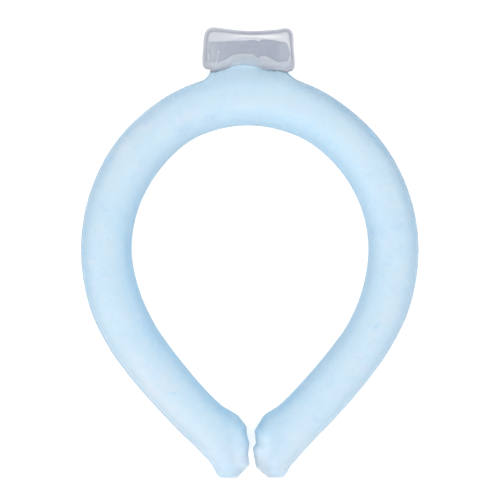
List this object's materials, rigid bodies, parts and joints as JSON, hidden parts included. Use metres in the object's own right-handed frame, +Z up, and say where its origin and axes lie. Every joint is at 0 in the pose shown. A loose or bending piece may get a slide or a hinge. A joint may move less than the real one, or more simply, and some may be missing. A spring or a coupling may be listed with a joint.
{
  "type": "cooling neck ring",
  "caption": "Gel-filled cooling ring for the neck: a soft clear film tube bent to an open teardrop, with a welded filler tab at the back and closed ends that nearly meet in front.",
  "frame": {"origin": "middle of the outline seen from above, on the surface that the ring lies on", "axes": "+Z up through the ring's thickness, +Y from the open ends towards the filler tab at the back of the neck, +X across the ring"},
  "size_m": [0.1519, 0.2026, 0.0208],
  "materials": {
    "film": "clear satin film, a faint grey at the welded edges",
    "coolant": "light-blue set gel, cloudy, paler along the middle",
    "tab_film": "clear glossy welded film, greyish, pressed flat inside a raised rim"
  },
  "bodies": {
    "root": {"tube_skin": "film", "cooling_gel": "coolant", "filler_tab": "tab_film"}
  },
  "joints": []
}
